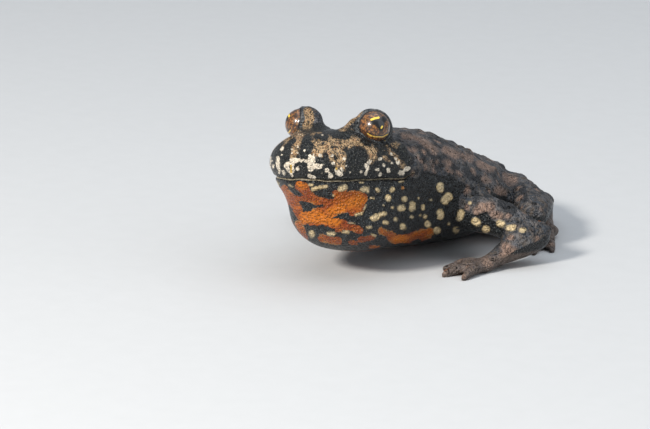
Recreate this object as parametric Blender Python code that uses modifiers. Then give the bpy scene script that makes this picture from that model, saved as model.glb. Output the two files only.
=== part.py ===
"""A life-size fire-bellied toad at rest, belly down with its head raised and tilted.

The toad looks along -Y, its left side is +X and the floor is z = 0. All sizes below are in
millimetres and become metres where a mesh is made. One lump of clay is built from a lofted
trunk, tapered limbs and round forms, fused and smoothed, given its warts, lips and folds, and
then parted with thin cuts into the pieces that a person would name.
"""

import math
import random

import bmesh
import bpy
import numpy as np
from mathutils import Matrix, Vector
from mathutils.kdtree import KDTree

MM = 0.001
GAP = 0.3

# Driving sizes of the animal.
SNOUT_VENT = 47.0
MOUTH_HEIGHT = 12.65
EYE_RADIUS = 1.8

# The head's tilt, and the place of one eye, measured from the snout tip in the mouth's plane.
HEAD_PITCH = 9.0
HEAD_ROLL = 5.9
EYE_SIDE = 5.0
EYE_BACK = 8.9
EYE_RISE = 5.5
EYE_YAW = 54.0
EYE_PITCH = 18.0
EYE_OPENING = 70.0
EYE_GAP = 0.2
EYE_SEGMENTS = 20
LID_RADII = (2.38, 2.38, 2.2)
LID_RIM = 0.2
RIM_SEGMENTS = 40
RIM_SIDES = 12
BROW_RADII = (1.95, 2.2, 1.65)
BROW_SIDE = 3.7
BROW_BACK = 8.0
BROW_RISE = 4.9
NOSTRIL_SIDE = 1.9
NOSTRIL_BACK = 2.4
NOSTRIL_RISE = 4.15
NOSTRIL_RADIUS = 0.34

# Trunk stations: distance from the snout tip, half width, top, bottom, height of the widest
# line, and the squareness of the upper and lower half of the section.
TRUNK = (
    (0.0, 0.0, 2.0, -2.0, 2.0, 2.1, 1.9),
    (0.5, 2.3, 3.2, -0.6, 1.8, 2.1, 1.9),
    (1.3, 3.6, 4.0, 1.5, 1.6, 2.2, 2.0),
    (2.6, 5.0, 4.5, 3.7, 1.3, 2.3, 2.1),
    (4.5, 6.2, 4.7, 6.2, 1.0, 2.3, 2.4),
    (7.0, 7.2, 4.6, 8.1, 0.8, 2.3, 2.7),
    (10.0, 7.85, 4.5, 8.9, 0.6, 2.3, 2.8),
    (13.0, 8.1, 4.6, 9.1, 0.3, 2.2, 2.7),
    (17.0, 8.4, 4.9, 8.9, 0.0, 2.1, 2.5),
    (22.0, 9.1, 5.1, 8.5, -0.6, 2.0, 2.3),
    (28.0, 9.4, 4.7, 7.1, -1.0, 2.0, 2.4),
    (33.0, 7.9, 4.3, 5.6, -1.0, 2.0, 2.4),
    (38.0, 5.9, 3.9, 4.2, -0.8, 2.0, 2.3),
    (43.0, 3.7, 2.6, 2.6, -0.4, 2.0, 2.1),
    (46.0, 2.0, 1.3, 1.3, -0.1, 2.0, 2.0),
    (SNOUT_VENT, 0.0, 0.1, -0.1, 0.1, 2.0, 2.0),
)
# Distance from the snout tip, downward pitch of the back and roll of the section, in degrees.
SPINE = (
    (0.0, HEAD_PITCH, HEAD_ROLL),
    (13.0, HEAD_PITCH, HEAD_ROLL),
    (18.0, 13.5, 4.0),
    (24.0, 19.5, 1.5),
    (32.0, 19.0, 0.0),
    (40.0, 14.0, 0.0),
    (SNOUT_VENT, 11.0, 0.0),
)
BELLY_TAPER = 0.12
RINGS = 84
RING_POINTS = 64
SPINE_STEP = 0.5

# Limb joints as (left, back, up) from a point on the floor below the snout tip.
ARMS = {
    "left": {
        "shoulder": (8.0, 22.4, 6.0),
        "elbow": (16.0, 25.2, 3.2),
        "wrist": (14.0, 20.6, 1.5),
        "palm": (13.2, 18.8, 0.75),
    },
    "right": {
        "shoulder": (-8.0, 22.2, 5.6),
        "elbow": (-15.8, 26.2, 3.1),
        "wrist": (-12.0, 25.0, 1.5),
        "palm": (-11.2, 23.6, 0.75),
    },
}
LEGS = {
    "left": {
        "hip": (3.2, 39.6, 3.4),
        "knee": (12.2, 30.6, 4.0),
        "heel": (7.2, 41.0, 2.3),
        "sole": (11.3, 35.4, 0.8),
    },
    "right": {
        "hip": (-3.2, 39.6, 3.4),
        "knee": (-12.6, 30.9, 4.0),
        "heel": (-7.5, 41.1, 2.3),
        "sole": (-11.8, 35.6, 0.8),
    },
}
# Each stretch of a limb: its radii, where its muscle swells, and how far the muscle lifts it.
UPPER_ARM = ((2.5, 2.65, 2.1, 1.65), 0.5, 0.25)
FOREARM = ((1.7, 1.75, 1.15, 0.9), 0.4, 0.1)
THIGH = ((2.5, 2.35, 1.8), 0.5, 0.4)
SHANK = ((1.8, 1.65, 1.2), 0.45, 0.55)
TARSUS = ((1.2, 0.85, 0.85), 0.5, -0.25)
SHOULDER_ROOT = 2.0
TUBE_BEVEL = 5
TUBE_STEPS = 8
BALL_SEGMENTS = 28
WELD = 1e-6

# Digits as (turn from the foot's own line in degrees, length), inner digit first.
FINGERS = ((-50.0, 3.2), (-18.0, 3.8), (10.0, 4.5), (40.0, 3.8))
TOES = ((-36.0, 3.0), (-20.0, 4.4), (-5.0, 6.0), (9.0, 7.4), (25.0, 6.0))
HAND_TURN = -14.0
FOOT_TURN = -25.0
PAD_RADII = (1.35, 1.35, 0.8)
DIGIT_ROOT = 0.6
DIGIT_ROOT_RADIUS = 0.72
DIGIT_RADIUS = 0.62
DIGIT_TIP_RADIUS = 0.45
DIGIT_SINK = 0.16
KNUCKLE_RISE = 0.15
WEB_TOP = 0.65
WEB_THICKNESS = 0.55
WEB_REACH = 0.62

# The clay's grain, and how it is smoothed: by how much, and how little near the floor, where
# the digits are.
CLAY_VOXEL = 0.28
SMOOTH_PASSES = 9
SMOOTH_FACTOR = 0.5
SMOOTH_LEVELS = 8
DIGIT_SMOOTHING = 0.12
DIGIT_HEIGHTS = (0.9, 2.2)
TRUNK_SIDES = (8.0, 9.5)

# Triangles of each finished piece, and how much finer a piece is tried when it doesn't close.
TRIANGLES = {
    "head": 2800,
    "lower_jaw": 1100,
    "torso": 3600,
    "upper_arm": 380,
    "forearm": 340,
    "hand": 640,
    "thigh": 420,
    "shank": 420,
    "foot": 820,
}
FINER = 1.04
TRIES = 12
NUDGE = (0.011, 0.013, 0.0)

# Warts: how many, their radii and heights, and the least distance from the snout, height above
# the floor and upward turn of the skin that carries them.
WART_SEED = 7
WARTS = 90
WART_RADII = (0.7, 1.15)
WART_HEIGHTS = (0.18, 0.4)
WART_REACH = 1.8
WART_FALL = 1.6
WART_BACK = 11.0
WART_FLOOR = 2.5
WART_TURN = 0.15

# The lips stand out along the mouth line, which ends at the jaw's corner.
LIP_RISE = 0.1
LIP_PLACE = 0.55
LIP_WIDTH = 0.38
MOUTH_CORNER = 12.0
CORNER_FADE = 1.0

# Under the lip the chin is drawn in, towards a point further back, and fills out again below.
CHIN_TUCK = 0.13
CHIN_DROP = 2.75
CHIN_SPAN = 2.3
CHIN_PIVOT = 10.0
CHIN_FADE = 4.0

# Where the body is parted: across the neck and along the mouth, across the arms and the
# ankles, along the flank, and along the crease between the thigh and the shank. A cut that
# is a disc has a radius, and one that is a slab has a length and a width.
NECK_CUT = 13.2
NECK_DROP = -2.0
NECK_SLAB = (30.0, 26.0)
MOUTH_AHEAD = 6.0
MOUTH_WIDTH = 24.0
SHOULDER_CUT = 0.45
SHOULDER_DISC = 3.4
ELBOW_INWARD = 1.4
ELBOW_SLAB = (8.0, 5.5)
WRIST_CUT = 0.3
WRIST_DISC = 1.9
FLANK = (7.7, 34.5, 4.4)
FLANK_TURN = 23.0
FLANK_SLAB = (16.0, 8.6)
CREASE_SLAB = (14.4, 7.0)
CREASE_START = 4.6
CREASE_RISE = 5.25
ANKLE_SHARE = 0.45
ANKLE_CUT = 1.85
ANKLE_SLAB = (9.0, 4.6)
DISC_SIDES = 32
SOCKET_DISC = (3.0, 6.0)

SKIN_COLOURS = {
    "head": (0.12, 0.11, 0.09, 1.0),
    "lower_jaw": (0.41, 0.12, 0.022, 1.0),
    "torso": (0.07, 0.07, 0.068, 1.0),
    "limb": (0.11, 0.1, 0.095, 1.0),
    "eye": (0.25, 0.14, 0.06, 1.0),
}
SKIN_ROUGHNESS = 0.35
EYE_ROUGHNESS = 0.08
SHARP_ANGLE = 40.0
FLOOR_BLOCK = 200.0


def spread(stations, along):
    """Station values at one distance, on a smooth curve that is steep at both rounded ends."""
    length = stations[-1][0]

    def eased(s):
        return math.acos(1 - 2 * min(max(s / length, 0.0), 1.0)) / math.pi

    at = eased(along)
    knots = [eased(row[0]) for row in stations]
    values = np.array([row[1:] for row in stations])
    slopes = np.gradient(values, knots, axis=0)
    i = min(max(np.searchsorted(knots, at) - 1, 0), len(knots) - 2)
    width = knots[i + 1] - knots[i]
    t = (at - knots[i]) / width
    return (
        (2 * t**3 - 3 * t**2 + 1) * values[i]
        + (t**3 - 2 * t**2 + t) * width * slopes[i]
        + (3 * t**2 - 2 * t**3) * values[i + 1]
        + (t**3 - t**2) * width * slopes[i + 1]
    )


def spine_frame(along):
    """The place and tilt of the body's own axis at a distance from the snout tip."""
    steps = max(1, math.ceil(along / SPINE_STEP))
    point = Vector((0.0, 0.0, MOUTH_HEIGHT))
    for k in range(steps):
        pitch = math.radians(spread(SPINE, (k + 0.5) * along / steps)[0])
        point += Vector((0.0, math.cos(pitch), -math.sin(pitch))) * along / steps
    pitch, roll = (math.radians(a) for a in spread(SPINE, along))
    turn = Matrix.Rotation(-pitch, 4, "X") @ Matrix.Rotation(-roll, 4, "Y")
    return Matrix.Translation(point) @ turn


def head_matrix():
    """The head's own frame: left, back and up from the snout tip, in the mouth's plane."""
    head = Matrix.Translation((0.0, 0.0, MOUTH_HEIGHT))
    head @= Matrix.Rotation(-math.radians(HEAD_PITCH), 4, "X")
    return head @ Matrix.Rotation(-math.radians(HEAD_ROLL), 4, "Y")


def in_head(left, back, up):
    """A point given in the head's own frame, as (left, back, up) from the snout tip."""
    return head_matrix() @ Vector((left, back, up))


def head_direction(left, back, up):
    return (in_head(left, back, up) - in_head(0.0, 0.0, 0.0)).normalized()


def add_object(name, mesh):
    obj = bpy.data.objects.new(name, mesh)
    bpy.context.scene.collection.objects.link(obj)
    return obj


def mesh_from_bmesh(name, bm):
    mesh = bpy.data.meshes.new(name)
    bm.to_mesh(mesh)
    bm.free()
    mesh.transform(Matrix.Scale(MM, 4))
    return mesh


def trunk_form():
    """Head and trunk as one loft of rings along the spine, closed by a point at each end."""
    bm = bmesh.new()
    rings = []
    for k in range(1, RINGS):
        along = SNOUT_VENT * (1 - math.cos(math.pi * k / RINGS)) / 2
        half, top, bottom, wide, upper, lower = spread(TRUNK, along)
        frame = spine_frame(along)
        ring = []
        for j in range(RING_POINTS):
            turn = 2 * math.pi * j / RING_POINTS
            c, s = math.cos(turn), math.sin(turn)
            power = upper if s >= 0 else lower
            side = math.copysign(abs(c) ** (2 / power), c) * half
            rise = abs(s) ** (2 / power)
            if s >= 0:
                up = wide + (top - wide) * rise
            else:
                up = wide - (bottom + wide) * rise
                side *= 1 - BELLY_TAPER * rise
            ring.append(bm.verts.new(frame @ Vector((side, 0.0, up))))
        rings.append(ring)
    for first, second in zip(rings, rings[1:]):
        for j in range(RING_POINTS):
            n = (j + 1) % RING_POINTS
            bm.faces.new((first[j], first[n], second[n], second[j]))
    for ring, along, flip in ((rings[0], 0.0, True), (rings[-1], SNOUT_VENT, False)):
        up = spread(TRUNK, along)[1]
        tip = bm.verts.new(spine_frame(along) @ Vector((0.0, 0.0, up)))
        for j in range(RING_POINTS):
            n = (j + 1) % RING_POINTS
            pair = (ring[n], ring[j]) if flip else (ring[j], ring[n])
            bm.faces.new((*pair, tip))
    bmesh.ops.recalc_face_normals(bm, faces=bm.faces)
    return add_object("trunk", mesh_from_bmesh("trunk", bm))


def ball(name, centre, radii, segments=BALL_SEGMENTS):
    """An ellipsoid about a centre."""
    bm = bmesh.new()
    bmesh.ops.create_uvsphere(bm, u_segments=segments, v_segments=segments // 2, radius=1.0)
    bm.transform(Matrix.Translation(centre) @ Matrix.Diagonal((*radii, 1.0)))
    return add_object(name, mesh_from_bmesh(name, bm))


def ring_form(name, centre, axis, radius, thickness):
    """A torus about an axis, as the rim of an eyelid."""
    turn = Vector(axis).to_track_quat("Z", "Y").to_matrix().to_4x4()
    bpy.ops.mesh.primitive_torus_add(
        major_radius=radius * MM,
        minor_radius=thickness * MM,
        major_segments=RIM_SEGMENTS,
        minor_segments=RIM_SIDES,
    )
    obj = bpy.context.object
    obj.name = name
    obj.data.transform(Matrix.Translation(Vector(centre) * MM) @ turn)
    return obj


def limb(name, points, radii):
    """A tapered tube through points, with a ball at each end."""
    curve = bpy.data.curves.new(name, "CURVE")
    curve.dimensions = "3D"
    curve.bevel_depth = MM
    curve.bevel_resolution = TUBE_BEVEL
    curve.resolution_u = TUBE_STEPS
    curve.use_fill_caps = True
    spline = curve.splines.new("BEZIER")
    spline.bezier_points.add(len(points) - 1)
    for bezier, point, radius in zip(spline.bezier_points, points, radii):
        bezier.co = Vector(point) * MM
        bezier.radius = radius
        bezier.handle_left_type = bezier.handle_right_type = "AUTO"
    obj = add_object(name, curve)
    bpy.context.view_layer.update()
    graph = bpy.context.evaluated_depsgraph_get()
    mesh = bpy.data.meshes.new_from_object(obj.evaluated_get(graph))
    bpy.data.objects.remove(obj)
    bm = bmesh.new()
    bm.from_mesh(mesh)
    bmesh.ops.remove_doubles(bm, verts=bm.verts, dist=WELD)
    bm.to_mesh(mesh)
    bm.free()
    forms = [add_object(name, mesh)]
    for end in (0, -1):
        forms.append(ball(name + "_end", points[end], [radii[end]] * 3))
    return forms


def muscled(name, start, end, build, before=(), after=()):
    """One stretch of a limb, with a swelling between its joints."""
    radii, share, lift = build
    swelling = start.lerp(end, share) + Vector((0.0, 0.0, lift))
    return limb(name, (*before, start, swelling, end, *after), radii)


def joint_points(joints):
    """The joints of a limb, from the body outward."""
    return [Vector(point) for point in joints.values()]


def arm_forms(joints):
    shoulder, elbow, wrist, palm = joint_points(joints)
    root = shoulder + (shoulder - elbow).normalized() * SHOULDER_ROOT
    forms = muscled("upper_arm", shoulder, elbow, UPPER_ARM, before=(root,))
    forms += muscled("forearm", elbow, wrist, FOREARM, after=(palm,))
    return forms + paw_forms(wrist, palm, FINGERS, HAND_TURN, 0.0)


def leg_forms(joints):
    hip, knee, heel, sole = joint_points(joints)
    forms = muscled("thigh", hip, knee, THIGH)
    forms += muscled("shank", knee, heel, SHANK)
    forms += muscled("tarsus", heel, sole, TARSUS)
    return forms + paw_forms(heel, sole, TOES, FOOT_TURN, WEB_REACH)


def paw_forms(root, base, digits, turn, web):
    """The splayed digits of one hand or foot, with a web between them where web is above 0."""
    side = 1 if base.x > 0 else -1
    line = Vector((base.x - root.x, base.y - root.y, 0.0)).normalized()
    forms = [ball("pad", base, PAD_RADII)]
    tips = []
    for angle, length in digits:
        aim = Matrix.Rotation(math.radians(side * (angle + turn)), 3, "Z") @ line
        start = base + aim * DIGIT_ROOT
        tip = start + aim * length
        tip.z = DIGIT_TIP_RADIUS - DIGIT_SINK
        knuckle = start.lerp(tip, 0.5)
        knuckle.z = DIGIT_RADIUS + KNUCKLE_RISE
        radii = (DIGIT_ROOT_RADIUS, DIGIT_RADIUS, DIGIT_TIP_RADIUS)
        forms += limb("digit", (start, knuckle, tip), radii)
        tips.append(base + aim * length * web)
    if web:
        forms.append(web_form(base, tips))
    return forms


def web_form(base, tips):
    """A thin fan of skin between the toes."""
    bm = bmesh.new()
    rim = [Vector((p.x, p.y, WEB_TOP)) for p in (base, *tips)]
    face = bm.faces.new([bm.verts.new(p) for p in rim])
    under = bmesh.ops.extrude_face_region(bm, geom=[face])["geom"]
    points = [v for v in under if isinstance(v, bmesh.types.BMVert)]
    bmesh.ops.translate(bm, vec=Vector((0.0, 0.0, -WEB_THICKNESS)), verts=points)
    bmesh.ops.recalc_face_normals(bm, faces=bm.faces)
    return add_object("web", mesh_from_bmesh("web", bm))


def eye_place(side):
    """The centre of an eye, and the way it looks."""
    yaw, pitch = math.radians(EYE_YAW), math.radians(EYE_PITCH)
    aim = head_direction(
        side * math.sin(yaw) * math.cos(pitch),
        -math.cos(yaw) * math.cos(pitch),
        math.sin(pitch),
    )
    return in_head(side * EYE_SIDE, EYE_BACK, EYE_RISE), aim


def eyelid_forms(side):
    """The bump that holds one eye, its brow, and the rim of its lids."""
    centre, aim = eye_place(side)
    rim = EYE_RADIUS * math.sin(math.radians(EYE_OPENING)) + LID_RIM
    ahead = EYE_RADIUS * math.cos(math.radians(EYE_OPENING)) + GAP
    brow = in_head(side * BROW_SIDE, BROW_BACK, BROW_RISE)
    return [
        ball("lid", centre, LID_RADII),
        ball("brow", brow, BROW_RADII),
        ring_form("lid_rim", centre + aim * ahead, aim, rim, LID_RIM),
    ]


def fuse(forms):
    """One smooth lump from all the forms, by a voxel remesh of their join."""
    lump = forms[0]
    with bpy.context.temp_override(
        active_object=lump, selected_editable_objects=forms, selected_objects=forms
    ):
        bpy.ops.object.join()
    remesh = lump.modifiers.new("Remesh", "REMESH")
    remesh.mode = "VOXEL"
    remesh.voxel_size = CLAY_VOXEL * MM
    apply_modifiers(lump)
    return lump


def apply_modifiers(obj):
    bpy.context.view_layer.update()
    graph = bpy.context.evaluated_depsgraph_get()
    mesh = bpy.data.meshes.new_from_object(obj.evaluated_get(graph))
    obj.modifiers.clear()
    old = obj.data
    obj.data = mesh
    bpy.data.meshes.remove(old)


def points_of(obj):
    flat = np.empty(len(obj.data.vertices) * 3, np.float32)
    obj.data.vertices.foreach_get("co", flat)
    return flat.reshape(-1, 3).astype(float) / MM


def normals_of(obj):
    flat = np.empty(len(obj.data.vertices) * 3, np.float32)
    obj.data.vertex_normals.foreach_get("vector", flat)
    return flat.reshape(-1, 3).astype(float)


def move_points(obj, points):
    obj.data.vertices.foreach_set("co", (points * MM).astype(np.float32).ravel())
    obj.data.update()


def smooth_step(value, low, high):
    t = np.clip((value - low) / (high - low), 0.0, 1.0)
    return t * t * (3 - 2 * t)


def soften(lump):
    """Rounds the joins between the forms, and the digits much less than the body."""
    points = points_of(lump)
    body = smooth_step(points[:, 2], *DIGIT_HEIGHTS)
    trunk = 1 - smooth_step(np.abs(points[:, 0]), *TRUNK_SIDES)
    strength = np.clip(np.maximum(body, trunk), DIGIT_SMOOTHING, 1.0)
    level = np.ceil(strength * SMOOTH_LEVELS)
    group = lump.vertex_groups.new(name="soft")
    for k in range(1, SMOOTH_LEVELS + 1):
        group.add(np.nonzero(level == k)[0].tolist(), k / SMOOTH_LEVELS, "REPLACE")
    smooth = lump.modifiers.new("Smooth", "SMOOTH")
    smooth.factor = SMOOTH_FACTOR
    smooth.iterations = SMOOTH_PASSES
    smooth.vertex_group = group.name
    apply_modifiers(lump)


def into_head(points):
    """Points in the head's own frame."""
    back = np.array(head_matrix().inverted())
    return points @ back[:3, :3].T + back[:3, 3]


def tuck_chin(lump):
    """Draws the chin in below the mouth, as on an animal that isn't calling."""
    points = points_of(lump)
    own = into_head(points)
    ahead = 1 - smooth_step(own[:, 1], CHIN_PIVOT - CHIN_FADE, CHIN_PIVOT)
    tuck = CHIN_TUCK * ahead * np.exp(-(((own[:, 2] + CHIN_DROP) / CHIN_SPAN) ** 2))
    move = np.stack([-own[:, 0], CHIN_PIVOT - own[:, 1], np.zeros(len(own))], axis=1)
    turn = np.array(head_matrix().to_3x3())
    move_points(lump, points + (move * tuck[:, None]) @ turn.T)


def shape_lips(lump):
    """Raises a lip on both sides of the mouth line, fading at the jaw's corner."""
    points, normals = points_of(lump), normals_of(lump)
    own = into_head(points)
    ridge = np.exp(-(((np.abs(own[:, 2]) - LIP_PLACE) / LIP_WIDTH) ** 2))
    fade = 1 - smooth_step(own[:, 1], MOUTH_CORNER - CORNER_FADE, MOUTH_CORNER + CORNER_FADE)
    move_points(lump, points + normals * (LIP_RISE * ridge * fade)[:, None])


def raise_warts(lump):
    """Scatters low round warts over the back, neck and upper limbs."""
    points, normals = points_of(lump), normals_of(lump)
    tree = KDTree(len(points))
    for i, point in enumerate(points):
        tree.insert(point, i)
    tree.balance()
    draw = random.Random(WART_SEED)
    upper = (points[:, 2] > WART_FLOOR) & (normals[:, 2] > WART_TURN)
    able = np.nonzero(upper & (points[:, 1] > WART_BACK))[0]
    lift = np.zeros(len(points))
    for _ in range(WARTS):
        place = points[draw.choice(able)]
        radius = draw.uniform(*WART_RADII)
        height = draw.uniform(*WART_HEIGHTS)
        for _, i, distance in tree.find_range(place, radius * WART_REACH):
            rise = height * math.exp(-WART_FALL * (distance / radius) ** 2)
            lift[i] = max(lift[i], rise)
    move_points(lump, points + normals * lift[:, None])


def thin_out(piece, triangles):
    """Reduces a piece to about a number of triangles, keeping its shape and keeping it closed."""
    full = piece.data
    count = sum(len(p.vertices) - 2 for p in full.polygons)
    for attempt in range(TRIES):
        piece.data = full.copy()
        decimate = piece.modifiers.new("Decimate", "DECIMATE")
        decimate.ratio = min(1.0, triangles * FINER**attempt / count)
        decimate.use_collapse_triangulate = True
        apply_modifiers(piece)
        if is_closed(piece.data):
            return


def disc(centre, axis, radius, thickness=GAP):
    """A round cutter across an axis."""
    bpy.ops.mesh.primitive_cylinder_add(
        vertices=DISC_SIDES, radius=radius * MM, depth=thickness * MM
    )
    obj = bpy.context.object
    turn = Vector(axis).to_track_quat("Z", "Y").to_matrix().to_4x4()
    obj.data.transform(Matrix.Translation(Vector(centre) * MM) @ turn)
    return obj


def slab(centre, normal, along, sizes):
    """A flat cutter with its faces across normal and its length sizes[0] along a direction."""
    bpy.ops.mesh.primitive_cube_add(size=1.0)
    obj = bpy.context.object
    normal = Vector(normal).normalized()
    along = (Vector(along) - normal * Vector(along).dot(normal)).normalized()
    turn = Matrix((along, normal.cross(along), normal)).transposed().to_4x4()
    size = Matrix.Diagonal((sizes[0] * MM, sizes[1] * MM, GAP * MM, 1.0))
    obj.data.transform(Matrix.Translation(Vector(centre) * MM) @ turn @ size)
    return obj


def arm_cuts(joints):
    shoulder, elbow, wrist, palm = joint_points(joints)
    inward = ((shoulder - elbow).normalized() + (wrist - elbow).normalized()).normalized()
    bend = (elbow - shoulder).normalized() + (wrist - elbow).normalized()
    return [
        disc(shoulder.lerp(elbow, SHOULDER_CUT), elbow - shoulder, SHOULDER_DISC),
        slab(elbow + inward * ELBOW_INWARD, bend, inward, ELBOW_SLAB),
        disc(wrist.lerp(palm, WRIST_CUT), palm - wrist, WRIST_DISC),
    ]


def leg_cuts(joints, side):
    hip, knee, heel, sole = joint_points(joints)
    flank = Vector((side * FLANK[0], FLANK[1], FLANK[2]))
    turn = math.radians(FLANK_TURN)
    away = Vector((side * math.cos(turn), math.sin(turn), 0.0))
    crease = ((hip + heel) / 2 - knee).normalized()
    across = Vector((crease.y, -crease.x, 0.0)) * side
    middle = knee + crease * CREASE_START
    middle.z = CREASE_RISE
    ankle = heel.lerp(sole, ANKLE_SHARE)
    ankle.z = ANKLE_CUT
    return [
        slab(flank, away, (0.0, 1.0, 0.0), FLANK_SLAB),
        slab(middle, across, (crease.x, crease.y, 0.0), CREASE_SLAB),
        slab(ankle, (0.0, 0.0, 1.0), sole - heel, ANKLE_SLAB),
    ]


def is_closed(mesh):
    bm = bmesh.new()
    bm.from_mesh(mesh)
    closed = all(edge.is_manifold for edge in bm.edges)
    bm.free()
    return closed


def split_into_triangles(mesh):
    bm = bmesh.new()
    bm.from_mesh(mesh)
    bmesh.ops.triangulate(bm, faces=bm.faces)
    bm.to_mesh(mesh)
    bm.free()


def cut_away(lump, cutter):
    """Cuts one cutter out of the lump, a hair aside where the cut would not close."""
    whole = lump.data
    for _ in range(TRIES):
        lump.data = whole.copy()
        boolean = lump.modifiers.new("Boolean", "BOOLEAN")
        boolean.operation = "DIFFERENCE"
        boolean.solver = "MANIFOLD"
        boolean.object = cutter
        apply_modifiers(lump)
        split_into_triangles(lump.data)
        if is_closed(lump.data):
            break
        cutter.data.transform(Matrix.Translation(Vector(NUDGE) * MM))
    bpy.data.objects.remove(cutter)


def part_the_body(lump):
    """Parts the named pieces with thin cuts."""
    forward, upward = head_direction(0.0, 1.0, 0.0), head_direction(0.0, 0.0, 1.0)
    cutters = [slab(in_head(0.0, NECK_CUT, NECK_DROP), forward, upward, NECK_SLAB)]
    for joints in ARMS.values():
        cutters += arm_cuts(joints)
    for side, joints in zip((1, -1), LEGS.values()):
        cutters += leg_cuts(joints, side)
    for cutter in cutters:
        cut_away(lump, cutter)


def level_on_floor(piece):
    """Cuts off what a piece has below the floor."""
    bpy.ops.mesh.primitive_cube_add(size=FLOOR_BLOCK * MM)
    floor = bpy.context.object
    floor.data.transform(Matrix.Translation((0.0, 0.0, -FLOOR_BLOCK * MM / 2)))
    cut_away(piece, floor)


def open_the_face(lump):
    """Cuts the line of the mouth, the eye sockets and the nostrils."""
    forward, upward = head_direction(0.0, 1.0, 0.0), head_direction(0.0, 0.0, 1.0)
    middle = in_head(0.0, (NECK_CUT - MOUTH_AHEAD) / 2, 0.0)
    cutters = [slab(middle, upward, forward, (NECK_CUT + MOUTH_AHEAD, MOUTH_WIDTH))]
    ahead, depth = SOCKET_DISC
    for side in (1, -1):
        centre, aim = eye_place(side)
        opening = EYE_RADIUS * math.sin(math.radians(EYE_OPENING))
        cutters.append(ball("socket", centre, [EYE_RADIUS + EYE_GAP] * 3))
        cutters.append(disc(centre + aim * ahead, aim, opening, depth))
        nostril = in_head(side * NOSTRIL_SIDE, NOSTRIL_BACK, NOSTRIL_RISE)
        cutters.append(ball("nostril", nostril, [NOSTRIL_RADIUS] * 3))
    for cutter in cutters:
        cut_away(lump, cutter)


def piece_places():
    """A point inside each named piece."""
    places = {
        "head": in_head(0.0, 8.0, 3.5),
        "lower_jaw": in_head(0.0, 7.0, -4.5),
        "torso": Vector((0.0, 29.0, 4.5)),
    }
    for side, joints in ARMS.items():
        shoulder, elbow, wrist, palm = joint_points(joints)
        places[side + "_upper_arm"] = shoulder.lerp(elbow, 0.7)
        places[side + "_forearm"] = elbow.lerp(wrist, 0.5)
        places[side + "_hand"] = palm + (palm - wrist)
    for side, joints in LEGS.items():
        hip, knee, heel, sole = joint_points(joints)
        places[side + "_thigh"] = hip.lerp(knee, 0.65)
        places[side + "_shank"] = knee.lerp(heel, 0.5) + (heel - hip) * 0.1
        places[side + "_foot"] = sole + (sole - heel) * 0.4
    return places


def shells_of(mesh):
    """The separate closed surfaces of a mesh, as lists of face indices, largest first."""
    bm = bmesh.new()
    bm.from_mesh(mesh)
    bm.faces.ensure_lookup_table()
    seen = set()
    shells = []
    for seed in bm.faces:
        if seed.index in seen:
            continue
        shell, queue = [], [seed]
        seen.add(seed.index)
        while queue:
            face = queue.pop()
            shell.append(face.index)
            for edge in face.edges:
                for other in edge.link_faces:
                    if other.index not in seen:
                        seen.add(other.index)
                        queue.append(other)
        shells.append(shell)
    bm.free()
    return sorted(shells, key=len, reverse=True)


def shell_mesh(lump, shell, name):
    """A mesh of its own from some faces of the lump."""
    bm = bmesh.new()
    bm.from_mesh(lump.data)
    keep = set(shell)
    bmesh.ops.delete(bm, geom=[f for f in bm.faces if f.index not in keep], context="FACES")
    mesh = bpy.data.meshes.new(name)
    bm.to_mesh(mesh)
    bm.free()
    return mesh


def material(name, colour, roughness):
    made = bpy.data.materials.new(name)
    made.use_nodes = True
    shader = made.node_tree.nodes["Principled BSDF"]
    shader.inputs["Base Color"].default_value = colour
    shader.inputs["Roughness"].default_value = roughness
    shader.inputs["Metallic"].default_value = 0.0
    return made


def name_pieces(lump):
    """One object for each named piece of the parted body."""
    pieces = []
    places = piece_places()
    for shell in shells_of(lump.data)[: len(places)]:
        centres = [lump.data.polygons[i].center for i in shell]
        middle = sum(centres, Vector()) / len(centres) / MM
        name = min(places, key=lambda n: (places[n] - middle).length)
        del places[name]
        piece = add_object(name, shell_mesh(lump, shell, name))
        thin_out(piece, TRIANGLES[name.removeprefix("left_").removeprefix("right_")])
        if min(v.co.z for v in piece.data.vertices) < 0.0:
            level_on_floor(piece)
        colour = SKIN_COLOURS.get(name, SKIN_COLOURS["limb"])
        piece.data.materials.clear()
        piece.data.materials.append(material(name, colour, SKIN_ROUGHNESS))
        pieces.append(piece)
    bpy.data.objects.remove(lump)
    return pieces


def eye_pieces():
    pieces = []
    for side, name in ((1, "left_eye"), (-1, "right_eye")):
        centre = eye_place(side)[0]
        eye = ball(name, centre, [EYE_RADIUS] * 3, EYE_SEGMENTS)
        eye.data.materials.append(material(name, SKIN_COLOURS["eye"], EYE_ROUGHNESS))
        pieces.append(eye)
    return pieces


def gather(pieces):
    """Puts the pieces in their collection, with the origin below the middle of them all."""
    corners = np.concatenate([points_of(piece) for piece in pieces])
    middle = (corners.min(axis=0) + corners.max(axis=0)) / 2
    toad = bpy.data.collections.new("fire_bellied_toad")
    bpy.context.scene.collection.children.link(toad)
    for piece in pieces:
        bpy.context.scene.collection.objects.unlink(piece)
        toad.objects.link(piece)
        piece.data.transform(Matrix.Translation((-middle[0] * MM, -middle[1] * MM, 0.0)))
        piece.data.shade_smooth()
        piece.data.set_sharp_from_angle(angle=math.radians(SHARP_ANGLE))


def main():
    for obj in list(bpy.data.objects):
        bpy.data.objects.remove(obj)
    forms = [trunk_form()]
    for side in (1, -1):
        forms += eyelid_forms(side)
    for joints in ARMS.values():
        forms += arm_forms(joints)
    for joints in LEGS.values():
        forms += leg_forms(joints)
    lump = fuse(forms)
    soften(lump)
    tuck_chin(lump)
    shape_lips(lump)
    raise_warts(lump)
    open_the_face(lump)
    part_the_body(lump)
    gather(name_pieces(lump) + eye_pieces())


main()
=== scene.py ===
import math
import random

import bmesh
import bpy
import numpy as np
from mathutils import Matrix, Vector
from mathutils.bvhtree import BVHTree
from mathutils.kdtree import KDTree


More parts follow.
